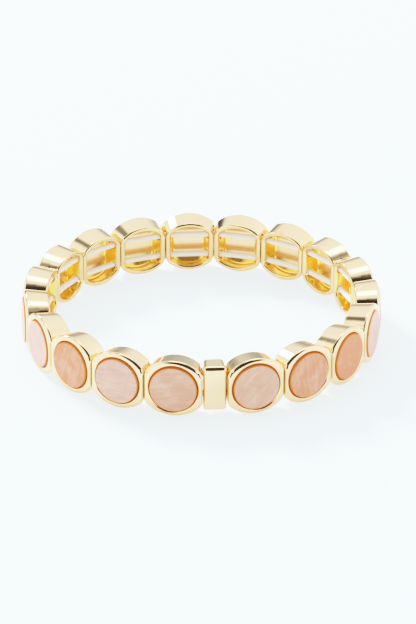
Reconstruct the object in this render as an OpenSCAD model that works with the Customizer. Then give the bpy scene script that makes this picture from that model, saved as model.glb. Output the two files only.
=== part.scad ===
// Stretch bracelet of open-backed bezel links, each with a flat round stone, and one narrow bar
// link, all carried on two elastic cords. Millimetres. The ring lies flat: +Z is up, the origin
// is under the middle of the ring on the surface that it rests on, and the bar link is at -Y.
// Every link is drawn face up, its face at height 0, and then stood in its place in the ring.

/* [Ring] */
// Number of links that hold a stone
link_count = 19; // [16:1:22]
// Share of one link's turn round the ring that the bar link takes
bar_share = 0.41; // [0.36:0.01:0.6]
// Gap between neighbouring links
link_gap = 0.12; // [0.08:0.01:0.2]

/* [Bezel link] */
// Width of the face between its straight sides
link_w = 10; // [9.6:0.1:11]
// Height of the face from its lowest to its highest point
link_h = 10.2; // [10:0.1:11]
// Depth from the face to the open back
link_depth = 4.3; // [4.2:0.1:5]
// Radius of the curved top and bottom edges of the face
arc_r = 6.6; // [6.2:0.1:7.4]
// How much is trimmed off each of the four corners of the face
corner_trim = 0.08; // [0.05:0.01:0.15]
// How much lower the open back is than the face
back_drop = 1.1; // [0.8:0.05:1.6]
// Thickness of the walls
wall = 0.8; // [0.7:0.05:0.9]
// Thickness of the plate behind the face, recess included
plate = 1.5; // [1.4:0.1:1.6]
// How far each side of the hollow leans outwards from its floor to the open back
hollow_lean = 0.6; // [0:0.05:0.8]
// Radius of the rounded front edge along the top and bottom
face_edge = 0.45; // [0.3:0.05:0.5]
// Bevel of the front edge along the straight sides
side_edge = 0.25; // [0.15:0.05:0.3]

/* [Stone] */
// Radius of the round recess that holds the stone
recess_r = 4.25; // [4.0:0.05:4.3]
// Depth of the recess
recess_depth = 0.95; // [0.8:0.05:0.95]
// Gap between the stone and the recess, all round
stone_gap = 0.12; // [0.06:0.01:0.2]
// Gap under the stone
bed_gap = 0.05; // [0.03:0.01:0.1]
// How far the stone stands proud of the face
stone_proud = 0.2; // [0.1:0.05:0.4]
// Bevel of the stone's front edge
stone_bevel = 0.2; // [0.1:0.05:0.25]

/* [Bar link] */
// Height of the bar's face
bar_h = 8.2; // [7.4:0.1:8.4]
// How much lower the bar's back is than its face
bar_drop = 0.6; // [0.3:0.1:1]
// How far the bar's face stands back from the faces of the other links
bar_setback = 0.3; // [0.2:0.05:0.4]
// Bevel of the bar's front edges
bar_bevel = 0.4; // [0.2:0.05:0.5]

/* [Elastic] */
// Diameter of each elastic cord
elastic_d = 1.2; // [1.0:0.05:1.3]
// Height of each cord above or below the middle of the links
elastic_rise = 2; // [1.9:0.05:2.1]
// Depth of the cords behind the links' faces
elastic_depth = 3.1; // [3.0:0.05:3.15]
// Diameter of the drilled holes that the cords pass through
hole_d = 1.7; // [1.6:0.05:1.8]

/* [Hidden] */
$fn = 96;

GOLD = [0.93, 0.82, 0.56];
ELASTIC_WHITE = [0.95, 0.93, 0.92];

// Stone tones: blush, peach, apricot and lilac, and the tone of each stone from the bar to +X on
STONE_TONES = [[0.86, 0.69, 0.64], [0.88, 0.68, 0.56], [0.88, 0.63, 0.47], [0.87, 0.75, 0.74]];
TONE_ORDER = [0, 1, 2, 3, 3, 1, 0, 3, 2, 0, 1, 3, 0, 2, 1, 3, 2, 3, 0];

// A tool that cuts right through runs on by this much
over = 1;

// Ring: the turn of a link and of the bar, and the distance of the faces from the ring's middle
link_turn = 360 / (link_count + bar_share);
bar_turn = link_turn * bar_share;
face_reach = (link_w + link_gap) / 2 / tan(link_turn / 2);
bar_reach = face_reach - bar_setback;

// Elastic: the cords cross every joint at one distance, and run straight through each link
joint_reach = (face_reach - elastic_depth) / cos(link_turn / 2);
bar_hole_depth = bar_reach - joint_reach * cos(bar_turn / 2);
elastic_sides = 10;

// Bezel link: how fast its sides and its curved walls draw in with depth. The sides draw in from
// the face, and the curved walls from where the rounded front edge ends.
side_slope = tan(link_turn / 2);
arc_slope = back_drop / 2 / (link_depth - face_edge);
arc_shift = arc_r - link_h / 2;
corner_z = sqrt(arc_r * arc_r - link_w * link_w / 4) - arc_shift;
corner_r = norm([link_w / 2, corner_z]) - corner_trim;
hollow_slope = -hollow_lean / (link_depth - plate);
hollow_w = link_w - 2 * (wall + (side_slope - hollow_slope) * link_depth);

// Bar link
bar_side_slope = tan(bar_turn / 2);
bar_w = 2 * bar_reach * bar_side_slope - link_gap / cos(bar_turn / 2);
bar_depth = link_depth - bar_setback;
bar_top_slope = bar_drop / 2 / bar_depth;

function numbered(name, i) = str(name, i < 10 ? "_0" : "_", i);
function link_angle(i) = bar_turn / 2 + (i - 0.5) * link_turn;
function joint_angle(j) = bar_turn / 2 + j * link_turn;

// Stands a piece that is drawn face up at its place in the ring, face outwards
module in_ring(angle, reach) {
    rotate([0, 0, angle]) translate([0, -reach, link_h / 2]) rotate([90, 0, 0]) children();
}

// Round that draws in with depth, about an axis shifted along Y, between two heights.
// Its radius is r where the link is widest, and its upper edge is rounded by the radius edge.
module drawn_round(r, shift, top, bottom, edge) {
    shoulder = top - edge;
    rim = r + arc_slope * (shoulder + face_edge);
    foot = r + arc_slope * (bottom + face_edge);
    translate([0, shift, 0]) rotate_extrude() {
        polygon([[0, bottom], [foot, bottom], [rim, shoulder], [0, shoulder]]);
        if (edge > 0) translate([0, shoulder]) {
            square([rim - edge, edge]);
            translate([rim - edge, 0]) intersection() {
                circle(edge);
                square(edge);
            }
        }
    }
}

// Right half of an outline that draws in with depth and has a bevelled upper corner
function half_outline(half, slope, top, bottom, bevel) = concat(
    [[half + slope * bottom, bottom], [half + slope * (top - bevel), top - bevel]],
    bevel > 0 ? [[half + slope * (top - bevel) - bevel, top]] : []
);

// Prism of that outline and its mirror image, running along Y
module drawn_prism(width, slope, top, bottom, bevel, length) {
    right = half_outline(width / 2, slope, top, bottom, bevel);
    left = [for (i = [len(right) - 1 : -1 : 0]) [-right[i].x, right[i].y]];
    rotate([90, 0, 0]) linear_extrude(length, center = true) polygon(concat(right, left));
}

// Outer form of a bezel link, or of its hollow when it is inset by the wall and leans outwards
module link_form(inset, width, slope, top, bottom, edge, bevel) {
    intersection() {
        drawn_round(arc_r - inset, -arc_shift, top, bottom, edge);
        drawn_round(arc_r - inset, arc_shift, top, bottom, edge);
        drawn_round(corner_r - inset, 0, top, bottom, edge);
        drawn_prism(width, slope, top, bottom, bevel, link_h + over);
    }
}

// The two holes that the cords pass through, from side to side
module elastic_holes(depth, length) {
    for (side = [-1, 1]) {
        translate([0, side * elastic_rise, -depth]) rotate([0, 90, 0])
            cylinder(h = length, d = hole_d, center = true);
    }
}

module link() {
    color(GOLD) difference() {
        link_form(0, link_w, side_slope, 0, -link_depth, face_edge, side_edge);
        link_form(wall, hollow_w, hollow_slope, -plate, -link_depth - over, 0, 0);
        translate([0, 0, -recess_depth]) cylinder(h = recess_depth + over, r = recess_r);
        elastic_holes(elastic_depth, link_w + over);
    }
}

module stone(tone) {
    stone_r = recess_r - stone_gap;
    back = bed_gap - recess_depth;
    color(tone) rotate_extrude() polygon([
        [0, back],
        [stone_r, back],
        [stone_r, stone_proud - stone_bevel],
        [stone_r - stone_bevel, stone_proud],
        [0, stone_proud]
    ]);
}

module bar_link() {
    color(GOLD) difference() {
        intersection() {
            drawn_prism(bar_w, bar_side_slope, 0, -bar_depth, side_edge, bar_h + over);
            rotate([0, 0, 90]) drawn_prism(bar_h, bar_top_slope, 0, -bar_depth, bar_bevel, bar_w + over);
        }
        elastic_holes(bar_hole_depth, bar_w + over);
    }
}

// Closed loop of cord, straight through every link and mitred at every joint
module elastic(height) {
    joints = link_count + 1;
    mitre = 1 / cos(link_turn / 2);
    points = [
        for (j = [0 : joints - 1], s = [0 : elastic_sides - 1])
            let (
                around = (s + 0.5) * 360 / elastic_sides,
                reach = joint_reach + elastic_d / 2 * mitre * cos(around)
            )
            [reach * sin(joint_angle(j)), -reach * cos(joint_angle(j)),
             height + elastic_d / 2 * sin(around)]
    ];
    faces = [
        for (j = [0 : joints - 1], s = [0 : elastic_sides - 1])
            let (
                here = j * elastic_sides,
                ahead = (j + 1) % joints * elastic_sides,
                next = (s + 1) % elastic_sides
            )
            [here + s, here + next, ahead + next, ahead + s]
    ];
    color(ELASTIC_WHITE) polyhedron(points, faces);
}

for (i = [1 : link_count]) {
    in_ring(link_angle(i), face_reach) link();
    in_ring(link_angle(i), face_reach)
        stone(STONE_TONES[TONE_ORDER[(i - 1) % len(TONE_ORDER)]]);
}
in_ring(0, bar_reach) bar_link();
elastic(link_h / 2 + elastic_rise);  // upper_elastic
elastic(link_h / 2 - elastic_rise);  // lower_elastic
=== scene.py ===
"""Stretch bracelet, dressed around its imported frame.

Open-backed bezel links with flat round stones and one bar link stand in a ring on two elastic cords.
Every piece is a surface worked out here, in metres and in the frame's own axes: +Z is up, the middle
of the ring is the origin and the bar link is at -Y. A link, a stone and the bar are drawn face up,
their face at height 0, and then stood in their place in the ring, face outwards.
"""

import math
from collections import namedtuple

import bpy
import numpy as np
from bpy.props import FloatProperty, FloatVectorProperty, IntProperty, PointerProperty
from bpy.types import Operator, Panel, PropertyGroup
from mathutils import Matrix, Vector


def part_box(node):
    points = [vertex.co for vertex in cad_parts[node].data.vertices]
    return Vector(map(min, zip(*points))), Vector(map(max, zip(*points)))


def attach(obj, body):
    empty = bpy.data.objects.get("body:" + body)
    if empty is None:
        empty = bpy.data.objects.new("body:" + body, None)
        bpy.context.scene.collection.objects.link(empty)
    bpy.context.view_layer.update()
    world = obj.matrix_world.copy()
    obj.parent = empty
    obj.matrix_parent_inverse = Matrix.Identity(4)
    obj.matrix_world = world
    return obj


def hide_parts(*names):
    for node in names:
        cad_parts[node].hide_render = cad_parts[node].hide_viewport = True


bl_info = {
    "name": "Stretch bracelet",
    "version": (1, 0, 0),
    "blender": (4, 5, 0),
    "location": "3D View > Sidebar > Bracelet",
    "description": "Builds a stretch bracelet of bezel links and round stones around its frame",
    "category": "Add Mesh",
}

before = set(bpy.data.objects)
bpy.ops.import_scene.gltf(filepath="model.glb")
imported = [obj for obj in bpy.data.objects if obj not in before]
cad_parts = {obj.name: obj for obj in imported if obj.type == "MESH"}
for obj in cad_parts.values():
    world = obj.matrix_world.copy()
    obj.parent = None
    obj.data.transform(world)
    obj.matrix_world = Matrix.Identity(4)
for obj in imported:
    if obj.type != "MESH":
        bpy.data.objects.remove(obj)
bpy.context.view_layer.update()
MM = 0.001

# Rows that hold a flat face flat stand this far beside each rounding
SUPPORT = 0.03 * MM
# A piece may pass the box of the part that it stands for by no more than this
BOX_SLACK = 0.1 * MM

# Columns round a quarter of an outline: on half a side, on the corner and on half the top. The
# corner has a rounding at each end, of this many columns, and one column for its facet.
SIDE_CELLS = 6
CREASE_CELLS = 3
CORNER_CELLS = 2 * CREASE_CELLS + 1
TOP_CELLS = 16
# Columns of a quarter between which a hole in the side wall is cut
HOLE_COLUMNS = (2, SIDE_CELLS + CORNER_CELLS + 4)
# The same for the bar link, whose straight sides take the whole hole
BAR_SIDE_CELLS = 14
BAR_CORNER_CELLS = 5
BAR_TOP_CELLS = 4
BAR_HOLE_COLUMNS = (4, 13)
# Rows of a side wall that a hole is cut through, and steps of each rounding
HOLE_ROWS = 8
EDGE_STEPS = 6
# Shares of the way from the edge of such a window to the hole, at which the skin has its points
SPREAD = (0.35, 0.7, 1)
# Shares of the way through a hole, at which its bore has its points
BORE_SHARES = (0.05, 0.5, 0.95)

# What the gold is like at a point: how much painted reflection, of light bouncing between the walls,
# deepens its colour, which also makes it rougher and more uneven; how satin; and how much painted
# glow, of the light that the walls round it throw at each other, it has, or below 0 how much painted
# shade darkens it. These are the walls of the hollow, its lower wall, its floor, a hole, a side that
# faces a neighbour, a corner facet, the rim of the open back and the face's foot.
HOLLOW, GUTTER, PLATE, BORE = (1, 0, 0.8), (1, 0, 0.35), (0.1, 1, 0.3), (1, 0, 0)
FLANK, FACET, RIM, FOOT = (1, 0, -1), (0.4, 0, 0), (0.15, 0, -0.4), (0, 0, -0.9)
# Where the painted shade at the foot of the face begins below the middle, and how much further
# down it is full, as shares of the link's height
FOOT_START, FOOT_FADE = 0.2, 0.3
# Depth at which a flank begins, as a share of the front edge along the sides, and how far from the
# back it ends, as a share of the rim's rounding
FLANK_START, FLANK_END = 0.25, 0.4

# Columns round a stone and round a cord, and steps of a cord's bend at a joint
STONE_COLUMNS = 96
CORD_COLUMNS = 16
BEND_STEPS = 6
# Stones stand this far apart in the pattern that they are all cut from
STONE_STEP = 20 * MM

# The soft lamp behind the ring on the left, and where it stands: its turn from -Y towards +X. The
# polished surfaces see its front, a disc of this half angle, and not its strong light.
KEY_SIZE = 0.26
KEY_DISTANCE = 1.2
KEY_ELEVATION = math.radians(31)
KEY_AZIMUTH = math.radians(-148)
KEY_HALF_ANGLE = math.radians(7)
# Dark flags round the lamps: the turn and height of each in degrees, the angle that it covers, and
# how much of the light it takes
FLAGS = (
    (-162, 5, 13, 0.85), (-131, 42, 11, 0.85), (-124, 63, 11, 0.9), (-52, 70, 12, 0.95),
    (14, 77, 12, 0.9), (80, 65, 11, 0.8),
)
# Where the studio's light changes. Each pair says between which two values of one part of a unit
# direction it does so: its part upwards, to the top; backwards, to the wall behind the ring; and
# backwards and upwards, round the foot of that wall.
TOP_UP, WALL_BEHIND, FOOT_BEHIND, FOOT_UP = (0.5, 0.9), (0.3, 0.8), (0.8, 0.98), (0.12, 0.5)
# The dark stripe in front: its sides and its upper end, the heights over which it grows wider, and
# then by how much it does, how far aside its middle is, and the share of the light that it takes
STRIPE_ASIDE, STRIPE_BEHIND, STRIPE_UP = (0.22, 0.36), (-0.35, 0.05), (0.3, 0.8)
STRIPE_WIDER, STRIPE_MIDDLE, STRIPE_SHARE = 0.3, 0.05, 0.98
# The strip of light above the ring: its lower end, its front, its back and its left end
STRIP_UP, STRIP_FRONT, STRIP_BACK, STRIP_ASIDE = (0.85, 0.93), (0.1, 0.2), (0.35, 0.5), (-0.3, -0.15)
# The image's tones bend softly towards white over this range, on a curve with this many steps
TONE_RANGE = 6.0
TONE_STEPS = 14
# How often light may bounce between polished walls
BOUNCES = 12
# Strength of the painted glow that stands for light coming through the cords, and of the painted
# glow of the gold recess on the stones' edges
CORD_LIGHT, PAINTED_RECESS_LIGHT = 0.36, 0.55
# Width of the camera's sensor, in Blender's own millimetres
SENSOR = 36

# How each stone looks, from the bar to +X on: its tone, the turn of its streaks in degrees, how
# streaky it is and how pale, both from 0 to 1
StoneLook = namedtuple("StoneLook", "tone streak_turn streakiness paleness")
STONE_LOOKS = [StoneLook(*look) for look in (
    ("blush", 50, 0.5, 0.45), ("peach", 95, 0.5, 0.15), ("apricot", 80, 0.3, 0.0), ("lilac", 100, 0.3, 0.4),
    ("lilac", 60, 0.4, 0.5), ("peach", 15, 0.5, 0.2), ("blush", 40, 0.3, 0.3), ("lilac", 75, 0.5, 0.4),
    ("apricot", 110, 0.4, 0.1), ("blush", 150, 0.6, 0.2), ("peach", 30, 0.3, 0.1), ("lilac", 85, 0.5, 0.5),
    ("blush", 10, 0.4, 0.3), ("apricot", 65, 0.5, 0.0), ("peach", 120, 0.4, 0.2), ("lilac", 100, 0.4, 0.4),
    ("apricot", 70, 0.4, 0.1), ("lilac", 5, 0.9, 0.5), ("blush", 10, 0.6, 0.25),
)]


def size(name, description, millimetres):
    """A length property, given in millimetres and kept in metres."""
    return FloatProperty(
        name=name, description=description, default=millimetres * MM, min=0, unit="LENGTH", precision=5
    )


def number(name, description, value, highest=100.0):
    """A plain number property that isn't below 0."""
    return FloatProperty(name=name, description=description, default=value, min=0, max=highest, precision=3)


def angle(name, description, radians):
    """An angle property."""
    return FloatProperty(name=name, description=description, default=radians, subtype="ANGLE")


def tint(name, description, colour):
    """A colour property, as linear red, green and blue."""
    return FloatVectorProperty(
        name=name, description=description, default=colour, size=3, min=0, max=1, subtype="COLOR"
    )


class RingSizes(PropertyGroup):
    """How the links share the ring."""

    link_count: IntProperty(
        name="Links",
        description="Number of links that hold a stone",
        default=sum(name.startswith("link_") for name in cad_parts),
        min=3,
    )
    bar_share: number("Bar share", "Share of one link's turn round the ring that the bar takes", 0.41)
    link_gap: size("Link gap", "Gap between neighbouring links", 0.08)


class LinkSizes(PropertyGroup):
    """Sizes of a bezel link."""

    width: size("Width", "Width of the face between its straight sides", 10.04)
    height: size("Height", "Height of the face from its lowest to its highest point", 10.2)
    depth: size("Depth", "Depth from the face to the open back", 4.3)
    arc_radius: size("Arc radius", "Radius of the curved top and bottom edges", 6.6)
    corner_radius: size("Corner radius", "Radius of the circle that each corner facet touches", 2)
    crease: size("Crease", "Radius of the roundings at both ends of a corner facet", 0.4)
    hollow_crease: size("Hollow crease", "The same radius for the corners of the hollow", 1.7)
    back_drop: size("Back drop", "How much lower the open back is than the face", 1.1)
    wall: size("Wall", "Thickness of the walls", 0.8)
    plate: size("Plate", "Thickness of the plate behind the face", 1.5)
    edge_depth: size("Front edge depth", "Depth of the rounded front edge, top and bottom", 0.52)
    edge_reach: size("Front edge reach", "How far that edge reaches over the face", 0.56)
    side_edge: size("Side edge", "Radius of the rounded front edge along the sides", 0.44)
    edge_flat: number("Edge flatness", "How much the front edges and the lip are bevels", 0.5, 1)
    hollow_drop: size("Hollow drop", "How much more the hollow draws in towards the back than the link", 0.3)
    hollow_lean: size("Hollow lean", "How far each side of the hollow leans outwards over its depth", 0.6)
    rim_edge: size("Rim edge", "Radius of the outer rounded edge of the open back", 0.3)
    mouth_edge: size("Mouth edge", "Radius of the rounded edge where the back opens into the hollow", 0.42)
    hollow_edge: size("Hollow edge", "Radius of the rounding at the bottom of the hollow", 0.3)
    recess_radius: size("Recess radius", "Radius of the round recess for the stone", 4.1)
    recess_depth: size("Recess depth", "Depth of that recess", 0.95)
    lip_reach: size("Lip reach", "How far the recess's rounded lip reaches over the face", 0.37)
    lip_depth: size("Lip depth", "Depth of that lip", 0.34)


class StoneSizes(PropertyGroup):
    """Sizes of a stone disc."""

    gap: size("Gap", "Gap between the stone and its recess, all round", 0.05)
    bed_gap: size("Bed gap", "Gap under the stone", 0.05)
    proud: size("Proud", "How far the stone stands proud of the face", 0.2)
    edge: size("Edge", "How far the stone's bevelled edge reaches over its face", 0.14)
    edge_depth: size("Edge depth", "Depth of that edge", 0.16)


class BarSizes(PropertyGroup):
    """Sizes of the bar link."""

    height: size("Height", "Height of the bar's face", 8.2)
    drop: size("Back drop", "How much lower the bar's back is than its face", 0.6)
    setback: size("Setback", "How far the bar's face stands back from the links' faces", 0.3)
    edge: size("Front edge", "Radius of the front edge at the top and bottom", 0.6)
    side_edge: size("Side edge", "Radius of the front edge along the sides", 0.4)
    corner_radius: size("Corner radius", "Radius of the bar's four long corners", 0.65)
    back_edge: size("Back edge", "Radius of the edges of the bar's back", 0.35)


class ElasticSizes(PropertyGroup):
    """Sizes of the elastic cords and of the holes that they pass through."""

    diameter: size("Diameter", "Diameter of each cord", 1.05)
    lift: size("Lift", "How much higher the lower cord lies in its holes than their middle", 0.15)
    rise: size("Rise", "Height of each cord above or below the middle of the links", 2)
    depth: size("Depth", "Depth of the cords behind the links' faces", 3.1)
    hole: size("Hole", "Diameter of the drilled holes", 1.7)
    hole_edge: size("Hole edge", "Radius of the rounded edge of each hole", 0.05)
    bend: size("Bend", "How far from each joint a cord begins to bend", 1.2)


class FinishColours(PropertyGroup):
    """Colours of the finishes."""

    gold: tint("Gold", "Reflection of the polished plating", (0.99, 0.645, 0.35))
    gold_warm: tint("Warm gold", "Reflection where the plating is a shade warmer", (0.98, 0.62, 0.31))
    # Painted reflection: the deeper colour of light bouncing between the gold walls
    gold_painted_bounce: tint("Deep gold", "Reflection of the plating between and in the links", (0.95, 0.66, 0.14))
    # Painted shade on the plating: in the gaps, on the rims of the open backs and at the faces' feet
    gold_shade: tint("Shaded gold", "Reflection of the plating in the gaps", (0.68, 0.43, 0.14))
    gold_glow: tint("Gold glow", "Light that the hollow's walls throw at each other", (0.30, 0.17, 0.014))
    blush: tint("Blush", "Dusty pink stone", (0.64, 0.268, 0.15))
    peach: tint("Peach", "Pale orange-pink stone", (0.70, 0.205, 0.073))
    apricot: tint("Apricot", "Strong orange-pink stone", (0.69, 0.172, 0.042))
    lilac: tint("Lilac", "Pale lilac-pink stone", (0.67, 0.285, 0.205))
    cloud: tint("Cloud", "Whitish clouds and streaks in the stones", (0.78, 0.42, 0.28))
    # Painted reflection and glow of the gold recess on the stones' bevelled edges
    painted_recess_gold: tint("Amber", "Gold of the recess, seen through the stones' edges", (0.50, 0.13, 0.010))
    elastic: tint("Elastic", "Milky white of the cords", (0.90, 0.70, 0.60))
    elastic_glow: tint("Elastic glow", "Light that comes through the milky cords", (0.8, 0.8, 0.45))
    # Painted shade and gold reflection on the cords at each joint
    cord_painted_joint_shade: tint("Cord at a joint", "The cords where gold closes round them", (0.75, 0.45, 0.05))
    floor: tint("Floor", "Pale floor", (0.28, 0.42, 0.48))
    floor_glow: tint("Floor glow", "Light that comes through the floor from below", (0.933, 0.976, 1.0))
    studio: tint("Studio", "Cool white of the studio's light", (0.84, 0.96, 1.0))


class StageSettings(PropertyGroup):
    """Camera, floor and light."""

    distance: size("Camera distance", "Distance of the camera from the middle of the ring", 609.3)
    elevation: angle("Camera elevation", "Angle of the view above the floor", 0.448)
    azimuth: angle("Camera azimuth", "Turn of the camera from -Y towards +X", -0.081)
    roll: angle("Camera roll", "Turn of the camera about its view", 0.0054)
    aside: size("Camera aside", "How far the camera stands to its right", 1.253)
    above: size("Camera above", "How far the camera stands above its line to the ring", 4.306)
    lens: FloatProperty(
        name="Lens", description="Focal length for a sensor of 36 mm", default=200.24, unit="CAMERA"
    )
    floor_size: size("Floor size", "Length of each side of the floor", 6000)
    floor_light: number("Floor light", "Strength of the light that comes through the floor", 1.6)
    overhead: number("Overhead", "Brightness of the studio overhead", 2.7)
    strip: number("Strip", "Brightness of the strip of light above the ring", 5)
    sides: number("Sides", "Brightness of the studio's side walls", 3.2)
    back: number("Back", "Brightness of the wall behind the ring", 2.5)
    foot: number("Foot", "Brightness of the foot of the wall behind the ring", 0.8)
    key_front: number("Key front", "Brightness of the front of the soft lamp behind the ring", 12)
    key_power: number("Key power", "Power of the soft lamp behind the ring, in watts", 55)


class BraceletSettings(PropertyGroup):
    """Everything that a user may change."""

    ring: PointerProperty(type=RingSizes)
    link: PointerProperty(type=LinkSizes)
    stone: PointerProperty(type=StoneSizes)
    bar: PointerProperty(type=BarSizes)
    elastic: PointerProperty(type=ElasticSizes)
    colours: PointerProperty(type=FinishColours)
    stage: PointerProperty(type=StageSettings)


class Ring:
    """The turn of each link and how far the faces and the cords stand from the middle of the ring.

    A link takes turn = full turn / (links + bar_share), and two neighbours' straight sides meet in
    the plane between them, so the faces reach (width + gap) / 2 / tan(turn / 2). The cords run
    straight through each link, depth behind its face, and bend at the joints between the links.
    """

    def __init__(self, settings):
        ring, link, bar, elastic = settings.ring, settings.link, settings.bar, settings.elastic
        self.links = ring.link_count
        self.turn = math.tau / (ring.link_count + ring.bar_share)
        self.bar_turn = self.turn * ring.bar_share
        self.middle = link.height / 2
        self.reach = (link.width + ring.link_gap) / 2 / math.tan(self.turn / 2)
        self.bar_reach = self.reach - bar.setback
        self.joint_reach = (self.reach - elastic.depth) / math.cos(self.turn / 2)
        self.bar_hole_depth = self.bar_reach - self.joint_reach * math.cos(self.bar_turn / 2)
        self.bar_width = (
            2 * self.bar_reach * math.tan(self.bar_turn / 2) - ring.link_gap / math.cos(self.bar_turn / 2)
        )

    def link_angle(self, number_in_ring):
        """Angle of a link or stone from -Y, towards +X, by its number from 1."""
        return self.bar_turn / 2 + (number_in_ring - 0.5) * self.turn

    def joint_angles(self):
        """Angle of every joint between two neighbours, once round the ring."""
        return self.bar_turn / 2 + np.arange(self.links + 1) * self.turn

    def stand(self, points, angle, reach):
        """Stands points that are drawn face up in the ring.

        The local Z axis turns outwards, the local Y axis upwards, the face goes out to reach, and
        the whole turns about the middle of the ring by angle.
        """
        across, up, height = np.moveaxis(points, -1, 0)
        out = height + reach
        x = across * math.cos(angle) + out * math.sin(angle)
        y = across * math.sin(angle) - out * math.cos(angle)
        return np.stack([x, y, up + self.middle], axis=-1)


class Outline:
    """Columns round an outline that is the same in its four quarters.

    A quarter runs from the middle of the right side, by the corner, to the middle of the top. Its
    columns carry three shares from 0 to 1, of the straight side, of the corner and of the top, and
    the four quarters together run round anticlockwise, seen from the face.
    """

    def __init__(self, side_cells, corner_cells, top_cells):
        self.quarter = side_cells + corner_cells + top_cells
        walk = np.concatenate([
            np.arange(side_cells) / side_cells,
            1 + np.arange(corner_cells) / corner_cells,
            2 + np.arange(top_cells + 1) / top_cells,
        ])
        forth, back = walk[:-1], walk[:0:-1]
        around = np.concatenate([forth, back, forth, back])
        self.side = np.clip(around, 0, 1)
        self.corner = np.clip(around - 1, 0, 1)
        self.top = np.clip(around - 2, 0, 1)
        self.right = np.repeat([1.0, -1.0, -1.0, 1.0], self.quarter)
        self.up = np.repeat([1.0, 1.0, -1.0, -1.0], self.quarter)
        # How far the outline has turned from side to top, eased at both ends
        self.easing = self.corner**2 * (3 - 2 * self.corner)

    def window(self, quarter_index, first, last):
        """Lowest and highest column between two columns of a quarter, in one of the four quarters."""
        start = quarter_index * self.quarter
        if quarter_index % 2 == 0:
            return start + first, start + last
        return start + self.quarter - last, start + self.quarter - first


class BezelForm:
    """Outer form of a bezel link, which draws in with depth, or of its hollow, whose sides lean out.

    At height h, 0 at the face and negative behind it, the straight sides stand at
    half(h) = half_width + side_slope h, and the top and bottom are arcs of radius
    arc(h) = arc_radius - bulge + arc_slope (h + edge_depth), centred arc_shift off the middle. The
    bulge is about what the rounded edge adds to the height. An extra slope makes the arcs draw in
    faster, to the same radius at the back.
    A circle of corner_radius R that touches a side and an arc is centred half - R across and
    sqrt((arc - R)^2 - (half - R)^2) - arc_shift up. The corner's facet touches that circle halfway
    between both, at the normal angle m. A crease of radius r joins it to the side, centred
    (R - r) (1, tan(m / 2)) off the circle's middle, and another joins it to the arc, centred where a
    circle of radius r touches both from inside. An inset moves each point inwards along the normal.
    """

    def __init__(self, link, half_width, side_slope, crease, extra=0):
        self.corner_radius, self.crease = link.corner_radius, crease
        self.half_width, self.side_slope = half_width, side_slope
        self.arc_slope = link.back_drop / 2 / (link.depth - link.edge_depth)
        self.arc_shift = link.arc_radius - link.height / 2
        bulge = self.arc_slope**2 * link.edge_depth**2 / link.edge_reach / 2
        self.arc_at_face = link.arc_radius - bulge + self.arc_slope * link.edge_depth + extra * link.depth
        self.arc_slope += extra
        self.columns = Outline(SIDE_CELLS, CORNER_CELLS, TOP_CELLS)

    def measures(self, height, crease):
        """Half width, arc radius, facet's normal and reach, both creases' middles, arc's first normal.

        Points here are measured from the middle of the arc.
        """
        half = self.half_width + self.side_slope * height
        arc = self.arc_at_face + self.arc_slope * height
        across = half - self.corner_radius
        rise = np.sqrt((arc - self.corner_radius) ** 2 - across**2)
        facet = np.arctan2(rise, across) / 2
        cos, sin = np.cos(facet), np.sin(facet)
        reach = across * cos + rise * sin + self.corner_radius
        spare = self.corner_radius - crease
        low = across + spare, rise + spare * np.tan(facet / 2)
        foot = across * -sin + rise * cos
        along = np.sqrt((arc - crease) ** 2 - (reach - crease) ** 2)
        along = np.where(along > foot, along, foot)
        high = (reach - crease) * cos - along * sin, (reach - crease) * sin + along * cos
        return half, arc, facet, reach, low, high, np.arctan2(high[1], high[0])

    def outline(self, height, inset):
        """One row of points round the form, at a height and an inset, each one number or one per column."""
        c = self.columns
        height, inset = (np.broadcast_to(value, c.side.shape) for value in (height, inset))
        crease = np.maximum(self.crease, inset + SUPPORT)
        _, arc, facet, _, low, high, start = self.measures(height, crease)
        first = np.clip(c.corner * CORNER_CELLS / CREASE_CELLS, 0, 1)
        second = np.clip((c.corner - 1) * CORNER_CELLS / CREASE_CELLS + 1, 0, 1)
        normal = facet * first + (start - facet) * second + (math.pi / 2 - start) * c.top
        on_high, on_top = second + (c.corner > 0.5) > 0, c.top > 0
        radius = np.where(on_top, arc, crease) - inset
        across = np.where(on_top, 0, np.where(on_high, high[0], low[0]))
        up = np.where(on_top, 0, np.where(on_high, high[1], low[1]))
        up = self.arc_shift + (up - self.arc_shift) * c.side
        x = c.right * (across + radius * np.cos(normal))
        y = c.up * (up + radius * np.sin(normal) - self.arc_shift)
        return np.stack([x, y, height], axis=-1)

    def side(self, up, height, inset):
        """Distance of the side wall from the middle plane, at a place up the link and a height.

        It is the straight side, the crease's circle, the facet, the other crease and then the arc.
        """
        crease = max(self.crease, inset + SUPPORT)
        half, arc, facet, reach, low, high, start = self.measures(height, crease)
        up = np.abs(up) + self.arc_shift
        radius = crease - inset
        circles = [x + np.sqrt(np.maximum(radius**2 - (up - y) ** 2, 0)) for x, y in (low, high)]
        on_facet = (reach - inset - up * np.sin(facet)) / np.cos(facet)
        on_arc = np.sqrt(np.maximum((arc - inset) ** 2 - up**2, 0))
        ends = (
            low[1], low[1] + radius * np.sin(facet), high[1] + radius * np.sin(facet),
            high[1] + radius * np.sin(start),
        )
        reaches = (half - inset, circles[0], on_facet, circles[1])
        return np.select([up < end for end in ends], reaches, on_arc)


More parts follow.
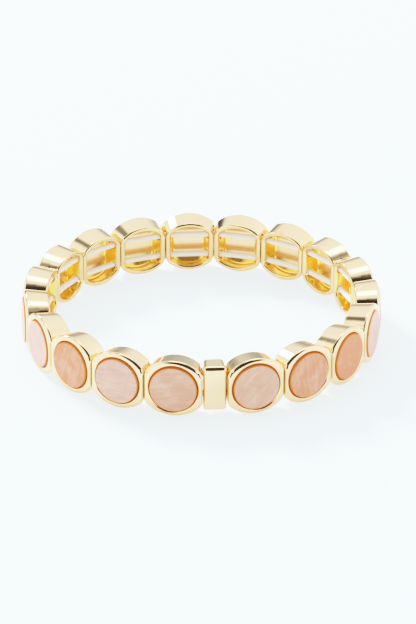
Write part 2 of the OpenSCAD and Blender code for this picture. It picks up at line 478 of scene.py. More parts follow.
class BarForm:
    """Outer form of the bar link: a rectangle with rounded corners, which draws in with depth.

    At height h its half width is width / 2 + side_slope h and its half height is
    bar height / 2 + top_slope h. An inset moves each point inwards along the outline's own normal.
    """

    def __init__(self, bar, ring, depth):
        self.half_width = ring.bar_width / 2
        self.half_height = bar.height / 2
        self.corner_radius = bar.corner_radius
        self.side_slope = math.tan(ring.bar_turn / 2)
        self.top_slope = bar.drop / 2 / depth
        self.columns = Outline(BAR_SIDE_CELLS, BAR_CORNER_CELLS, BAR_TOP_CELLS)

    def outline(self, height, inset):
        """One row of points round the form, at a height and an inset, each one number or one per column."""
        c = self.columns
        height, inset = (np.broadcast_to(value, c.side.shape) for value in (height, inset))
        normal = math.pi / 2 * c.corner
        across = (self.half_width + self.side_slope * height - self.corner_radius) * (1 - c.top)
        up = (self.half_height + self.top_slope * height - self.corner_radius) * c.side
        x = c.right * (across + (self.corner_radius - inset) * np.cos(normal))
        y = c.up * (up + (self.corner_radius - inset) * np.sin(normal))
        return np.stack([x, y, height], axis=-1)

    def side(self, up, height, inset):
        """Distance of the straight side from the middle plane."""
        return self.half_width + self.side_slope * height - inset


# An opening in a skin: the row of point numbers round it, the form and the inset that give the skin,
# the side of the middle that it is on, 1 or -1 along X, and the way along X that leads into the solid
Opening = namedtuple("Opening", "row form inset right inwards")
# The rows at which the parts of a bezel link begin: the wall of its recess, its own wall, the part
# of the wall that a hole is cut through, the rim of the back, the hollow's wall and its floor
Parts = namedtuple("Parts", "recess wall window rim hollow plate")


class Shell:
    """A closed piece, gathered as rows of points and the faces between them."""

    def __init__(self):
        self.points = np.empty((0, 3))
        self.faces = []

    def add(self, points):
        """Keeps points and gives their numbers, in the shape of the array."""
        first = len(self.points)
        self.points = np.concatenate([self.points, np.reshape(points, (-1, 3))])
        return np.arange(first, len(self.points)).reshape(np.shape(points)[:-1])

    def skin(self, rows, cells=None):
        """Quads between rows of point numbers, each row closed on itself, or only the chosen cells."""
        ahead = np.roll(rows, -1, axis=1)
        quads = np.stack([rows[:-1], rows[1:], ahead[1:], ahead[:-1]], axis=-1)
        self.faces.append(quads.reshape(-1, 4) if cells is None else quads[cells])

    def cap(self, row, point, at_end):
        """Triangles between a row and one point, which comes before the first row or after the last."""
        middle = np.full_like(row, self.add(np.array([point]))[0])
        ahead = np.roll(row, -1)
        order = [row, middle, ahead] if at_end else [middle, row, ahead]
        self.faces.append(np.stack(order, axis=-1))

    def drop_unused(self):
        """Drops the points that no face has, and gives the old numbers of the points that stay."""
        used = np.unique(np.concatenate([group.ravel() for group in self.faces]))
        self.faces = [np.searchsorted(used, group) for group in self.faces]
        self.points = self.points[used]
        return used

    def drill(self, openings, centre, radius, edge):
        """Round hole along X between two openings of the skin, whose rows run the same way.

        From each opening the points go straight to a circle round centre, the hole's Y and Z. Then
        they turn into the hole over a rounded edge: at the angle a the circle's radius is
        radius + edge (1 - sin a), and it lies edge (1 - cos a) under the skin. Gives the numbers of
        the points, row by row.
        """
        rims = np.array([self.points[opening.row][:, 1:] for opening in openings])
        away = rims.mean(axis=0) - centre
        bearing = away / np.linalg.norm(away, axis=1, keepdims=True)
        angles = np.linspace(0, math.pi / 2, EDGE_STEPS)
        shares = np.array(SPREAD)[:, None, None]
        ways = []
        for rim, opening in zip(rims, openings):
            spread = rim + (centre + bearing * (radius + edge + SUPPORT) - rim) * shares
            circles = centre + bearing * (radius + edge * (1 - np.sin(angles)))[:, None, None]
            sunk = np.concatenate([np.zeros(len(spread)), edge * (1 - np.cos(angles))])[:, None]
            flat = np.concatenate([spread, circles])
            side = opening.form.side(flat[..., 0], flat[..., 1], opening.inset)
            x = opening.right * side + opening.inwards * sunk
            ways.append(np.concatenate([x[..., None], flat], axis=-1))
        way_in, way_out = ways[0], ways[1][::-1]
        bore = way_in[-1] + (way_out[0] - way_in[-1]) * np.array(BORE_SHARES)[:, None, None]
        numbers = self.add(np.concatenate([way_in, bore, way_out]))
        self.skin(np.concatenate([openings[0].row[None], numbers, openings[1].row[None]]))
        return numbers


def cut_window(grid, cells, row, first, last):
    """Takes the cells of a window for a hole out of the skin, and gives its block of point numbers."""
    cells[row:row + HOLE_ROWS, first:last] = False
    return grid[row:row + HOLE_ROWS + 1, first:last + 1]


def border(block):
    """Point numbers round a block of rows and columns, clockwise seen from outside the skin."""
    return np.concatenate([block[0, :-1], block[:-1, -1], block[-1, :0:-1], block[:0:-1, 0]])


def quarter_turn():
    """Angles of the steps of a rounding, from 0 to a right angle."""
    return np.linspace(0, math.pi / 2, EDGE_STEPS + 1)


def rounding(radius):
    """How far each step of a quarter circle still is from its end, and how far it has come."""
    return [(radius * (1 - math.sin(turn)), radius * (1 - math.cos(turn))) for turn in quarter_turn()]


def soft_bevel(flat):
    """How far each step of a rounding has sunk, and how far it still has to go across, from 0 to 1.

    Both lie between a quarter circle, 1 - cos(a) and 1 - sin(a), and a bevel, whose share is flat.
    """
    turn = quarter_turn()
    share = turn / turn[-1]
    sunk = (1 - flat) * (1 - np.cos(turn)) + flat * share
    ahead = (1 - flat) * (1 - np.sin(turn)) + flat * (1 - share)
    return np.column_stack([sunk, ahead])


def disc_row(radius, height, bearing):
    """A circle about the local Z axis, with a point at each bearing."""
    x, y = radius * np.cos(bearing), radius * np.sin(bearing)
    return np.column_stack([x, y, np.full_like(bearing, height)])


def bezel_rows(settings, form, hollow):
    """The rows of a bezel link, face up, and where its parts begin.

    They run from the middle of the recess over the lip, the face, the rounded front edge, the
    drawn-in wall and the rim of the open back, then up inside the hollow to the middle of its floor.
    The lip and the front edge are soft bevels, and the edge is narrower along the sides.
    """
    link, elastic = settings.link, settings.elastic
    outer, inner, easing = form.outline, hollow.outline, form.columns.easing
    face = outer(0, 0)
    bearing = np.arctan2(face[:, 1], face[:, 0])
    bevel = soft_bevel(link.edge_flat)

    floor = -link.recess_depth
    rows = [disc_row(link.recess_radius * share, floor, bearing) for share in (0.5, 0.95, 0.995)]
    recess = len(rows)
    for height in (floor + SUPPORT, floor / 2, -link.lip_depth - SUPPORT):
        rows.append(disc_row(link.recess_radius, height, bearing))
    for sunk, ahead in bevel:
        rows.append(disc_row(link.recess_radius + link.lip_reach * sunk, -link.lip_depth * ahead, bearing))

    reach = link.side_edge + (link.edge_reach - link.side_edge) * easing
    depth = link.side_edge + (link.edge_depth - link.side_edge) * easing
    lip_end = disc_row(link.recess_radius + link.lip_reach + SUPPORT, 0, bearing)
    edge_start = outer(0, reach + SUPPORT)
    rows += [lip_end + (edge_start - lip_end) * share for share in (0, 0.5, 1)]
    rows += [outer(-depth * sunk, reach * ahead) for sunk, ahead in bevel]

    hole_top = elastic.hole / 2 + elastic.hole_edge + 2 * SUPPORT - elastic.depth
    mouth, back = link.mouth_edge, -link.depth
    wall_start = -depth - SUPPORT
    wall = len(rows)
    rows += [outer(wall_start + (hole_top - wall_start) * share, 0) for share in (0, 0.5)]
    window = len(rows)
    rows += [outer(height, 0) for height in np.linspace(hole_top, back + link.rim_edge, HOLE_ROWS + 1)]
    rim = len(rows)
    rows += [outer(back + left, come) for left, come in rounding(link.rim_edge)[1:]]
    rows.append(outer(back, link.rim_edge + SUPPORT))
    rows.append(inner(back, link.wall - mouth - SUPPORT))
    rows += [inner(back + come, link.wall - left) for left, come in rounding(mouth)[:-1]]
    inside = len(rows)
    rows += [inner(height, link.wall) for height in np.linspace(hole_top, back + mouth, HOLE_ROWS + 1)[::-1]]
    rows += [inner(-link.plate - left, link.wall + come) for left, come in rounding(link.hollow_edge)]
    plate = len(rows)
    rows += [rows[-1] * [share, share, 1] for share in (0.98, 0.5)]
    return rows, Parts(recess, wall, window, rim, inside, plate)


def bezel_finish_and_painted_light(link, columns, shell, grid, parts, spreads, bores):
    """What the gold of a bezel link is like at each point: its painted reflection, glow and shade.

    The painted shade at the foot of the face comes in with the square of how far down it is. A
    flank, which is painted in shade, is all, the recess too, that lies behind the face and in front of
    the rim, between the ends of the straight sides.
    """
    finish_and_painted_light = np.tile(np.array(HOLLOW, float), (len(shell.points), 1))
    finish_and_painted_light[bores] = BORE
    finish_and_painted_light[spreads] = 0
    finish_and_painted_light[grid[:parts.rim]] = 0
    lower = (columns.corner == 1) & (columns.up < 0)
    finish_and_painted_light[grid[parts.hollow:parts.plate][:, lower]] = GUTTER
    front = grid[parts.recess:parts.wall]
    # Painted shade at the foot of the face
    foot = (-shell.points[front][..., 1] / link.height - FOOT_START) / FOOT_FADE
    finish_and_painted_light[front] = np.clip(foot, 0, 1)[..., None] ** 2 * FOOT
    facet = (columns.corner > 0) & (columns.corner < 1)
    finish_and_painted_light[grid[parts.wall:parts.rim][:, facet]] = FACET
    finish_and_painted_light[grid[parts.rim:parts.hollow]] = RIM
    finish_and_painted_light[grid[parts.plate - 1:]] = finish_and_painted_light[-1] = PLATE
    shown = np.concatenate([grid[:parts.rim + EDGE_STEPS - 1].ravel(), spreads])
    up, depth = np.abs(shell.points[shown, 1:]).T
    side_end = shell.points[grid[parts.window, SIDE_CELLS], 1] + SUPPORT
    between = (depth > FLANK_START * link.side_edge) & (depth < link.depth - FLANK_END * link.rim_edge)
    finish_and_painted_light[shown[(up < side_end) & between]] = FLANK
    return finish_and_painted_light


def bezel_shell(settings, ring):
    """A bezel link, face up, with what its gold is like at each point, its painted light and shade too.

    The sides of the hollow meet the walls' full thickness at the back, and lean inwards from there.
    """
    link, elastic = settings.link, settings.elastic
    slope = math.tan(ring.turn / 2)
    lean = link.hollow_lean / (link.depth - link.plate)
    drop = link.hollow_drop / 2 / (link.depth - link.plate)
    form = BezelForm(link, link.width / 2, slope, link.crease)
    hollow_half = link.width / 2 - (slope + lean) * link.depth
    hollow = BezelForm(link, hollow_half, -lean, link.hollow_crease, drop)
    columns = form.columns
    rows, parts = bezel_rows(settings, form, hollow)

    shell = Shell()
    grid = shell.add(np.array(rows))
    cells = np.ones((len(rows) - 1, grid.shape[1]), bool)
    spreads, bores = [], []
    for quarter in range(4):
        first, last = columns.window(quarter, *HOLE_COLUMNS)
        right, up = columns.right[first], columns.up[first]
        outside = cut_window(grid, cells, parts.window, first, last)
        inside = cut_window(grid, cells, parts.hollow, first, last)
        openings = [
            Opening(border(outside), form, 0, right, -right),
            Opening(border(inside[::-1]), hollow, link.wall, right, right),
        ]
        centre = np.array([up * elastic.rise, -elastic.depth])
        numbers = shell.drill(openings, centre, elastic.hole / 2, elastic.hole_edge)
        spreads.append(numbers[:len(SPREAD)].ravel())
        bores.append(numbers[len(SPREAD):-len(SPREAD)].ravel())
    shell.skin(grid, cells)
    shell.cap(grid[0], [0, 0, -link.recess_depth], at_end=False)
    shell.cap(grid[-1], [0, 0, -link.plate], at_end=True)
    spreads, bores = np.concatenate(spreads), np.concatenate(bores)
    finish_and_painted_light = bezel_finish_and_painted_light(link, columns, shell, grid, parts, spreads, bores)
    return shell, finish_and_painted_light[shell.drop_unused()]


def bar_shell(settings, ring):
    """The bar link, face up, with what its gold is like at each point, its painted light and shade too.

    Its rows run from the middle of the face over the walls to the middle of the back.
    """
    bar, elastic = settings.bar, settings.elastic
    depth = settings.link.depth - bar.setback
    form = BarForm(bar, ring, depth)
    columns, outline = form.columns, form.outline

    edge = bar.side_edge + (bar.edge - bar.side_edge) * columns.easing
    rows = [outline(0, edge + SUPPORT) * [share, share, 1] for share in (0.3, 0.7, 1)]
    rows += [outline(-edge * sunk, edge * ahead) for sunk, ahead in soft_bevel(settings.link.edge_flat)]
    hole_reach = elastic.hole / 2 + elastic.hole_edge + 2 * SUPPORT
    hole_heights = -ring.bar_hole_depth + np.linspace(hole_reach, -hole_reach, HOLE_ROWS + 1)
    wall_start = -edge - SUPPORT
    rows += [outline(wall_start + (hole_heights[0] - wall_start) * share, 0) for share in (0, 0.5)]
    hole_row = len(rows)
    rows += [outline(height, 0) for height in hole_heights]
    rows += [outline(left - depth, come) for left, come in rounding(bar.back_edge)]
    rows += [outline(-depth, bar.back_edge + SUPPORT) * [share, share, 1] for share in (1, 0.7, 0.3)]

    shell = Shell()
    grid = shell.add(np.array(rows))
    cells = np.ones((len(rows) - 1, grid.shape[1]), bool)
    for up, quarters in ((1, (0, 1)), (-1, (3, 2))):
        openings = []
        for right, quarter in zip((1, -1), quarters):
            first, last = columns.window(quarter, *BAR_HOLE_COLUMNS)
            block = cut_window(grid, cells, hole_row, first, last)
            openings.append(Opening(border(block[:, ::right]), form, 0, right, -right))
        centre = np.array([up * elastic.rise, -ring.bar_hole_depth])
        shell.drill(openings, centre, elastic.hole / 2, elastic.hole_edge)
    shell.skin(grid, cells)
    shell.cap(grid[0], [0, 0, 0], at_end=False)
    shell.cap(grid[-1], [0, 0, -depth], at_end=True)

    finish_and_painted_light = np.zeros((len(shell.points), 3))
    finish_and_painted_light[grid.size:-2] = BORE
    # Painted shade on the sides that face the links
    finish_and_painted_light[grid[hole_row:hole_row + HOLE_ROWS][:, columns.corner == 0]] = FLANK
    return shell, finish_and_painted_light[shell.drop_unused()]


def stone_shell(settings):
    """A stone disc, face up: its rows run from the middle of the face over the bevelled edge to the back.

    A narrow rounding, SUPPORT wide, joins the face to the bevel.
    """
    stone, link = settings.stone, settings.link
    radius = link.recess_radius - stone.gap
    flat, foot = radius - stone.edge, stone.proud - stone.edge_depth
    back = stone.bed_gap - link.recess_depth
    bearing = np.arange(STONE_COLUMNS) * math.tau / STONE_COLUMNS
    profile = [(flat * share, stone.proud) for share in (0.4, 0.8, 0.98)]
    profile += [(flat - SUPPORT, stone.proud), (flat, stone.proud - 0.3 * SUPPORT)]
    for share in (0.1, 0.5, 0.9):
        profile.append((flat + stone.edge * share, stone.proud - stone.edge_depth * share))
    profile += [(radius, foot - 0.3 * SUPPORT), (radius, foot - 2 * SUPPORT), (radius, back + SUPPORT)]
    profile += [(radius - SUPPORT, back), (radius / 2, back)]
    shell = Shell()
    grid = shell.add(np.array([disc_row(across, height, bearing) for across, height in profile]))
    shell.skin(grid)
    shell.cap(grid[0], [0, 0, stone.proud], at_end=False)
    shell.cap(grid[-1], [0, 0, back], at_end=True)
    return shell


def cord_shell(settings, ring, height):
    """An elastic cord in its place: a round section carried along its line, with its length at each
    point and how far the point is from the nearest joint.

    The line is straight through the links. At each joint it bends over a quadratic curve, which
    begins and ends the same distance from the joint: (1 - t)^2 start + 2 t (1 - t) joint + t^2 end.
    """
    elastic = settings.elastic
    angles = ring.joint_angles()
    joints = np.column_stack([np.sin(angles), -np.cos(angles)]) * ring.joint_reach
    ways = [np.roll(joints, shift, axis=0) - joints for shift in (1, -1)]
    start, end = (joints + elastic.bend * way / np.linalg.norm(way, axis=1, keepdims=True) for way in ways)
    t = np.linspace(0, 1, BEND_STEPS + 1)[:, None, None]
    curves = (1 - t) ** 2 * start + 2 * t * (1 - t) * joints + t**2 * end
    straights = end + (np.roll(start, -1, axis=0) - end) * np.array([1, 2])[:, None, None] / 3
    line = np.concatenate([curves, straights]).transpose(1, 0, 2).reshape(-1, 2)

    step = np.roll(line, -1, axis=0) - np.roll(line, 1, axis=0)
    heading = step / np.linalg.norm(step, axis=1, keepdims=True)
    outwards = np.column_stack([heading[:, 1], -heading[:, 0]])
    along = np.concatenate([[0], np.cumsum(np.linalg.norm(np.diff(line, axis=0), axis=1))])
    around = np.arange(CORD_COLUMNS) * math.tau / CORD_COLUMNS
    out, up = elastic.diameter / 2 * np.cos(around), elastic.diameter / 2 * np.sin(around)
    flat = line[:, None] + outwards[:, None] * out[:, None]
    section = np.broadcast_to(height + up, flat.shape[:2])
    shell = Shell()
    grid = shell.add(np.concatenate([flat, section[..., None]], axis=-1))
    shell.skin(np.concatenate([grid, grid[:1]]))
    wide = [np.broadcast_to(value, flat.shape[:2]) for value in (along[:, None], out, up)]
    away = np.linalg.norm(line[:, None] - joints, axis=2).min(axis=1)
    return shell, np.stack(wide, axis=-1).reshape(-1, 3), np.repeat(away, CORD_COLUMNS)


class Wire:
    """A socket of a node tree. A sum, difference or product of wires and numbers adds its Math node."""

    def __init__(self, finish, socket):
        self.finish = finish
        self.socket = socket

    def maths(self, operation, *values):
        """The wire of a Math node on these values."""
        return self.finish.node("ShaderNodeMath", {"operation": operation}, dict(enumerate(values)))

    def __add__(self, other):
        return self.maths("ADD", self, other)

    __radd__ = __add__

    def __sub__(self, other):
        return self.maths("SUBTRACT", self, other)

    def __rsub__(self, other):
        return self.maths("SUBTRACT", other, self)

    def __mul__(self, other):
        return self.maths("MULTIPLY", self, other)

    __rmul__ = __mul__

    def __abs__(self):
        return self.maths("ABSOLUTE", self)

    def held(self):
        """This wire kept between 0 and 1."""
        return self.finish.node("ShaderNodeClamp", {}, {"Value": self})


class Finish:
    """The node tree of a material or of the world, emptied and made anew."""

    def __init__(self, owner):
        owner.use_nodes = True
        self.owner = owner
        self.tree = owner.node_tree
        self.tree.nodes.clear()

    def node(self, kind, settings, sockets, output=0):
        """Adds a node and gives the wire of one output: its settings first, then its sockets."""
        made = self.tree.nodes.new(kind)
        for name, value in settings.items():
            setattr(made, name, value)
        for name, value in sockets.items():
            if isinstance(value, Wire):
                self.tree.links.new(value.socket, made.inputs[name])
            else:
                made.inputs[name].default_value = value
        return Wire(self, made.outputs[output]) if made.outputs else None

    def place(self):
        """Where a point is on its object."""
        return self.node("ShaderNodeTexCoord", {}, {}, "Object")

    def attribute(self, name, output):
        """A value that the mesh holds at its points."""
        return self.node("ShaderNodeAttribute", {"attribute_name": name}, {}, output)

    def split(self, vector):
        """The three numbers of a vector."""
        return [self.node("ShaderNodeSeparateXYZ", {}, {"Vector": vector}, axis) for axis in "XYZ"]

    def stretch(self, vector, scale):
        """A vector, multiplied along each axis by its own number."""
        return self.node("ShaderNodeVectorMath", {"operation": "MULTIPLY"}, {0: vector, 1: scale})

    def noise(self, vector, feature, detail=3.0, roughness=0.5, distortion=0.0):
        """Soft noise around 0.5, whose patches are about as wide as feature."""
        sockets = {"Vector": vector, "Scale": 1 / feature, "Detail": detail, "Roughness": roughness}
        return self.node("ShaderNodeTexNoise", {}, {**sockets, "Distortion": distortion})

    def nearness(self, direction, middle):
        """Cosine of the angle between a direction and a fixed one."""
        return self.node("ShaderNodeVectorMath", {"operation": "DOT_PRODUCT"}, {0: direction, 1: middle}, 1)

    def rise(self, value, low, high):
        """0 where the value is below low, 1 above high, and smooth in between."""
        settings = {"interpolation_type": "SMOOTHSTEP"}
        return self.node("ShaderNodeMapRange", settings, {"Value": value, "From Min": low, "From Max": high})

    def blend(self, share, first, second):
        """A colour between two colours."""
        colours = [c if isinstance(c, Wire) else (*c, 1) for c in (first, second)]
        sockets = {0: share, 6: colours[0], 7: colours[1]}
        return self.node("ShaderNodeMix", {"data_type": "RGBA"}, sockets, 2)

    def bump(self, height, distance):
        """The normal of a surface that this height, from 0 to 1, raises by up to distance."""
        return self.node("ShaderNodeBump", {}, {"Height": height, "Distance": distance, "Strength": 1.0})

    def surface(self, **sockets):
        """Ends a material in one Principled shader, whose sockets are named with _ for a space."""
        named = {name.replace("_", " "): value for name, value in sockets.items()}
        shader = self.node("ShaderNodeBsdfPrincipled", {}, named)
        self.node("ShaderNodeOutputMaterial", {}, {"Surface": shader})
        return self.owner


def new_finish(name):
    """An empty material's node tree."""
    return Finish(bpy.data.materials.new(name))


def gold_finish(colours):
    """Polished pale gold plating over a casting: faint waves, a fine grain and slight haze.

    Where the mesh says so it has a painted reflection of light bouncing between the walls, which
    deepens its colour, and is more uneven; or it is satin; or it glows faintly, in patches, with
    painted light that the walls round it throw at each other; or it lies in their painted shade,
    which also darkens the foot of each face.
    """
    finish = new_finish("polished_gold")
    place = finish.place()
    waves = finish.noise(place, 2.2 * MM, detail=2)
    haze = finish.noise(place, 5 * MM, detail=4)
    grain = finish.noise(place, 0.09 * MM, detail=2)
    casting_and_glow_patches = finish.noise(place, 0.7 * MM, detail=2)
    painted_bounce_and_casting, satin, lit = finish.split(finish.attribute("finish_and_painted_light", "Vector"))
    colour = finish.blend(finish.rise(haze, 0.35, 0.7), colours.gold, colours.gold_warm)
    # Painted reflection of light bouncing between the walls deepens the colour
    colour = finish.blend(painted_bounce_and_casting, colour, colours.gold_painted_bounce)
    # Painted shade where lit is below 0
    colour = finish.blend(-1 * lit, colour, colours.gold_shade)
    roughness = 0.02 + 0.03 * haze + 0.02 * grain + 0.05 * painted_bounce_and_casting + 0.18 * satin
    normal = finish.bump(0.9 * waves + 0.1 * grain + 6 * painted_bounce_and_casting * casting_and_glow_patches, 0.004 * MM)
    # Painted glow, in patches, of the light that the walls throw at each other
    patches = 0.2 + 1.6 * casting_and_glow_patches
    glow = finish.blend(lit * patches, (0, 0, 0), colours.gold_glow)
    return finish.surface(
        Base_Color=colour, Metallic=1.0, Roughness=roughness, Normal=normal,
        Emission_Color=glow, Emission_Strength=1.0,
    )


def stone_finish(name, colour, colours):
    """A cloudy polished stone: soft patches, streaks along its own grain, and a painted reflection of
    the gold recess on its bevelled edge, which is partly metallic and glows.

    The mesh holds the place in the stone's own grain, and its streakiness, paleness and edge.
    """
    finish = new_finish(name)
    grain = finish.attribute("grain", "Vector")
    streakiness, paleness, edge = finish.split(finish.attribute("look", "Vector"))
    clouds = finish.noise(grain, 2.6 * MM, detail=4, roughness=0.6, distortion=0.4)
    bands = finish.noise(finish.stretch(grain, (0.16, 1, 1)), 0.55 * MM, detail=5, distortion=0.3)
    specks = finish.noise(grain, 0.22 * MM, detail=3)
    pale = paleness + 1.7 * (clouds - 0.5) + streakiness * 3 * (bands - 0.5) + 0.6 * (specks - 0.5)
    face = finish.blend(pale.held(), colour, colours.cloud)
    # Painted reflection and glow of the gold recess on the stone's edge
    face = finish.blend(edge, face, colours.painted_recess_gold)
    roughness = 0.26 + 0.2 * specks
    normal = finish.bump(specks, 0.003 * MM)
    glow = finish.blend(edge, (0, 0, 0), colours.painted_recess_gold)
    return finish.surface(
        Base_Color=face, Metallic=0.6 * edge, Roughness=roughness, Normal=normal,
        Emission_Color=glow, Emission_Strength=PAINTED_RECESS_LIGHT,
    )


def elastic_finish(colours):
    """Milky stretch cord with fine lines along its length, with painted shade and gold reflection at
    each joint.

    It glows a little with the light that comes through it.
    """
    finish = new_finish("milky_elastic")
    grain = finish.attribute("grain", "Vector")
    lines = finish.noise(finish.stretch(grain, (0.04, 1, 1)), 0.12 * MM, detail=3)
    colour = finish.blend(lines, colours.elastic, [0.9 * value for value in colours.elastic])
    # Painted shade and gold reflection near each joint
    shade = 1 - finish.rise(finish.attribute("joint", "Fac"), 0.3 * MM, 0.7 * MM)
    colour = finish.blend(shade, colour, colours.cord_painted_joint_shade)
    normal = finish.bump(lines, 0.02 * MM)
    return finish.surface(
        Base_Color=colour, Roughness=0.42 + 0.1 * lines, Normal=normal,
        Emission_Color=(*colours.elastic_glow, 1), Emission_Strength=CORD_LIGHT,
    )


def floor_finish(colours, strength):
    """Plain pale floor, faintly uneven, through which light comes."""
    finish = new_finish("pale_floor")
    cloud = finish.noise(finish.place(), 60 * MM, detail=2)
    colour = finish.blend(cloud, colours.floor, [0.985 * value for value in colours.floor])
    glow = (*colours.floor_glow, 1)
    return finish.surface(Base_Color=colour, Roughness=0.7, Emission_Color=glow, Emission_Strength=strength)


def towards(azimuth, elevation):
    """Unit vector at an angle from -Y towards +X, raised by another angle."""
    level = math.cos(elevation)
    return Vector((math.sin(azimuth) * level, -math.cos(azimuth) * level, math.sin(elevation)))


def studio_light(settings):
    """Soft white studio: bright overhead, paler walls, a greyer foot of the wall behind the ring.

    The part of the room in front, where nothing is lit, is a dark stripe from the horizon almost to
    the top, wider above. A strip of light hangs above the ring. Dark flags stand round the lamps.
    """
    stage = settings.stage
    world = bpy.data.worlds.new("studio")
    bpy.context.scene.world = world
    finish = Finish(world)
    direction = finish.node("ShaderNodeTexCoord", {}, {}, "Generated")
    aside, behind, up = finish.split(direction)
    bright = stage.sides + (stage.back - stage.sides) * finish.rise(behind, *WALL_BEHIND)
    bright = bright + (stage.overhead - bright) * finish.rise(up, *TOP_UP)
    foot = finish.rise(behind, *FOOT_BEHIND) * (1 - finish.rise(up, *FOOT_UP))
    bright = bright + (stage.foot - bright) * foot
    beside = abs(aside - STRIPE_MIDDLE) - STRIPE_WIDER * finish.rise(up, *STRIPE_UP)
    unlit = (1 - finish.rise(beside, *STRIPE_ASIDE)) * (1 - finish.rise(behind, *STRIPE_BEHIND))
    strip = finish.rise(behind, *STRIP_FRONT) * (1 - finish.rise(behind, *STRIP_BACK))
    strip = strip * finish.rise(up, *STRIP_UP) * finish.rise(aside, *STRIP_ASIDE)
    bright = bright * (1 - STRIPE_SHARE * unlit) + stage.strip * strip
    for azimuth, elevation, reach, share in FLAGS:
        near = finish.nearness(direction, towards(math.radians(azimuth), math.radians(elevation)))
        bright = bright * (1 - share * finish.rise(near, math.cos(math.radians(reach)), 1.0))
    near = finish.nearness(direction, towards(KEY_AZIMUTH, KEY_ELEVATION))
    lamp = finish.rise(near, math.cos(1.1 * KEY_HALF_ANGLE), math.cos(0.9 * KEY_HALF_ANGLE))
    bright = bright + (stage.key_front - bright) * lamp
    white = (*settings.colours.studio, 1)
    light = finish.node("ShaderNodeBackground", {}, {"Color": white, "Strength": bright})
    finish.node("ShaderNodeOutputWorld", {}, {"Surface": light})


def soften_highlights(view):
    """Bends the image's tones softly towards white: a tone t becomes 1 - e^-t."""
    view.view_transform = "Standard"
    view.use_curve_mapping = True
    curves = view.curve_mapping
    curves.white_level = (TONE_RANGE,) * 3
    for step in range(1, TONE_STEPS):
        share = (step / TONE_STEPS) ** 2
        curves.curves[3].points.new(share, 1 - math.exp(-share * TONE_RANGE))
    curves.update()


def build_object(name, points, faces, material):
    """A smooth mesh object at the origin, from an array of points and arrays of faces."""
    mesh = bpy.data.meshes.new(name)
    mesh.from_pydata(points, [], [face for group in faces for face in group.tolist()])
    mesh.shade_smooth()
    mesh.materials.append(material)
    made = bpy.data.objects.new(name, mesh)
    bpy.context.scene.collection.objects.link(made)
    return made


def add_piece(name, points, faces, material, node, attributes):
    """A piece that stands for a CAD node, rides on the frame and may not pass that node's box.

    The attributes are the values that its material reads at each point, by name.
    """
    piece = build_object(name, points, faces, material)
    for title, values in attributes.items():
        kind, field = ("FLOAT", "value") if values.ndim == 1 else ("FLOAT_VECTOR", "vector")
        layer = piece.data.attributes.new(title, kind, "POINT")
        layer.data.foreach_set(field, values.astype(np.float32).ravel())
    low, high = (np.array(corner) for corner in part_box(node))
    if (points.min(axis=0) < low - BOX_SLACK).any() or (points.max(axis=0) > high + BOX_SLACK).any():
        raise RuntimeError(f"{name} passes the box of {node}: its sizes don't fit the frame")
    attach(piece, "root")
    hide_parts(node)


class BRACELET_OT_bezel_links(Operator):
    """Adds the bezel links round the ring"""

    bl_idname = "bracelet.bezel_links"
    bl_label = "Bezel links"

    def execute(self, context):
        settings = context.scene.bracelet
        ring = Ring(settings)
        shell, finish_and_painted_light = bezel_shell(settings, ring)
        gold = gold_finish(settings.colours)
        for place in range(1, ring.links + 1):
            points = ring.stand(shell.points, ring.link_angle(place), ring.reach)
            add_piece(
                f"bezel_link_{place:02}", points, shell.faces, gold, f"link_{place:02}",
                {"finish_and_painted_light": finish_and_painted_light},
            )
        return {"FINISHED"}


class BRACELET_OT_stones(Operator):
    """Adds a stone disc to each bezel link"""

    bl_idname = "bracelet.stones"
    bl_label = "Stone discs"

    def execute(self, context):
        settings = context.scene.bracelet
        colours = settings.colours
        ring = Ring(settings)
        shell = stone_shell(settings)
        across, up, height = shell.points.T
        flat = settings.link.recess_radius - settings.stone.gap - settings.stone.edge
        # Where the stone's edge takes the painted reflection and glow of the gold recess
        edge = np.clip((np.hypot(across, up) - flat) / (0.1 * settings.stone.edge), 0, 1)
        tones = ("blush", "peach", "apricot", "lilac")
        finishes = {tone: stone_finish(f"stone_{tone}", getattr(colours, tone), colours) for tone in tones}
        for place in range(1, ring.links + 1):
            look = STONE_LOOKS[(place - 1) % len(STONE_LOOKS)]
            turn = math.radians(look.streak_turn)
            along = across * math.cos(turn) + up * math.sin(turn)
            beside = up * math.cos(turn) - across * math.sin(turn)
            grain = np.column_stack([along, beside, height + place * STONE_STEP])
            values = np.column_stack([
                np.full_like(edge, look.streakiness), np.full_like(edge, look.paleness), edge
            ])
            points = ring.stand(shell.points, ring.link_angle(place), ring.reach)
            add_piece(
                f"stone_disc_{place:02}", points, shell.faces, finishes[look.tone],
                f"stone_{place:02}", {"grain": grain, "look": values},
            )
        return {"FINISHED"}


class BRACELET_OT_bar(Operator):
    """Adds the narrow bar link"""

    bl_idname = "bracelet.bar"
    bl_label = "Bar link"

    def execute(self, context):
        settings = context.scene.bracelet
        ring = Ring(settings)
        shell, finish_and_painted_light = bar_shell(settings, ring)
        points = ring.stand(shell.points, 0, ring.bar_reach)
        gold = gold_finish(settings.colours)
        add_piece("bar_spacer", points, shell.faces, gold, "bar_link", {"finish_and_painted_light": finish_and_painted_light})
        return {"FINISHED"}


class BRACELET_OT_elastics(Operator):
    """Adds the two elastic cords that carry the links"""

    bl_idname = "bracelet.elastics"
    bl_label = "Elastic cords"

    def execute(self, context):
        settings = context.scene.bracelet
        ring = Ring(settings)
        milky = elastic_finish(settings.colours)
        elastic = settings.elastic
        for name, rise in (("upper", elastic.rise), ("lower", elastic.lift - elastic.rise)):
            shell, grain, joint = cord_shell(settings, ring, ring.middle + rise)
            add_piece(
                f"elastic_cord_{name}", shell.points, shell.faces, milky, f"{name}_elastic",
                {"grain": grain, "joint": joint},
            )
        return {"FINISHED"}


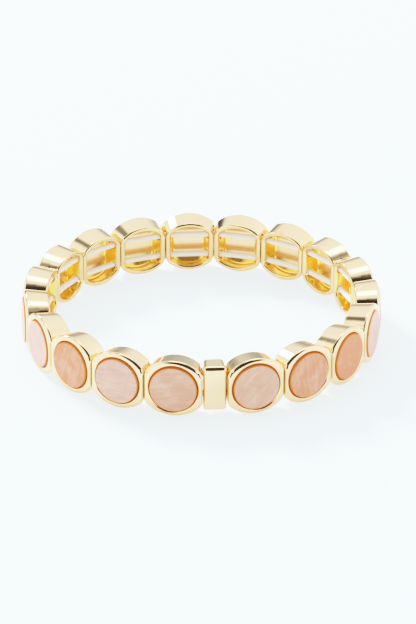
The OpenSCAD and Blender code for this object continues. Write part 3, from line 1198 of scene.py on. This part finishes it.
class BRACELET_OT_stage(Operator):
    """Sets the floor, the light and the camera"""

    bl_idname = "bracelet.stage"
    bl_label = "Stage"

    def execute(self, context):
        settings = context.scene.bracelet
        stage = settings.stage
        half = stage.floor_size / 2
        corners = np.array([[-half, -half, 0], [half, -half, 0], [half, half, 0], [-half, half, 0]])
        quad = [np.array([[0, 1, 2, 3]])]
        pale = floor_finish(settings.colours, stage.floor_light)
        floor = build_object("floor", corners, quad, pale)

        studio_light(settings)
        lamp = bpy.data.lights.new("key", "AREA")
        lamp.shape, lamp.size, lamp.energy = "SQUARE", KEY_SIZE, stage.key_power
        key = bpy.data.objects.new("key", lamp)
        key.visible_glossy = False
        way = towards(KEY_AZIMUTH, KEY_ELEVATION)
        turned = way.to_track_quat("Z", "Y").to_matrix().to_4x4()
        key.matrix_world = Matrix.Translation(way * KEY_DISTANCE) @ turned
        context.scene.collection.objects.link(key)

        camera = bpy.data.cameras.new("camera")
        camera.lens, camera.sensor_width, camera.clip_start = stage.lens, SENSOR, 10 * MM
        eye = bpy.data.objects.new("camera", camera)
        back = towards(stage.azimuth, stage.elevation)
        level = Vector((math.cos(stage.azimuth), math.sin(stage.azimuth), 0))
        right = math.cos(stage.roll) * level + math.sin(stage.roll) * back.cross(level)
        up = back.cross(right)
        axes = Matrix((right, up, back)).transposed().to_4x4()
        stand = back * stage.distance + right * stage.aside + up * stage.above
        eye.matrix_world = Matrix.Translation(stand) @ axes
        context.scene.collection.objects.link(eye)
        context.scene.camera = eye
        context.scene.cycles.glossy_bounces = BOUNCES
        soften_highlights(context.scene.view_settings)
        return {"FINISHED"}


OPERATORS = (
    BRACELET_OT_bezel_links,
    BRACELET_OT_stones,
    BRACELET_OT_bar,
    BRACELET_OT_elastics,
    BRACELET_OT_stage,
)


class BRACELET_PT_panel(Panel):
    """Lists the bracelet's sizes and pieces in the 3D view's sidebar"""

    bl_label = "Stretch bracelet"
    bl_idname = "BRACELET_PT_panel"
    bl_space_type = "VIEW_3D"
    bl_region_type = "UI"
    bl_category = "Bracelet"

    def draw(self, context):
        settings = context.scene.bracelet
        for group_name in ("ring", "link", "stone", "bar", "elastic", "colours", "stage"):
            group = getattr(settings, group_name)
            column = self.layout.box().column(heading=group_name.capitalize())
            for name in group.bl_rna.properties.keys():
                if name not in ("rna_type", "name"):
                    column.prop(group, name)
        for operator in OPERATORS:
            self.layout.operator(operator.bl_idname)


CLASSES = (
    RingSizes, LinkSizes, StoneSizes, BarSizes, ElasticSizes, FinishColours, StageSettings, BraceletSettings,
    *OPERATORS, BRACELET_PT_panel,
)


def register():
    for made in CLASSES:
        bpy.utils.register_class(made)
    bpy.types.Scene.bracelet = PointerProperty(type=BraceletSettings)


def unregister():
    del bpy.types.Scene.bracelet
    for made in reversed(CLASSES):
        bpy.utils.unregister_class(made)


def main():
    """Builds every piece around the frame, then the stage."""
    register()
    for piece in ("bezel_links", "stones", "bar", "elastics", "stage"):
        getattr(bpy.ops.bracelet, piece)()


if __name__ == "__main__":
    main()
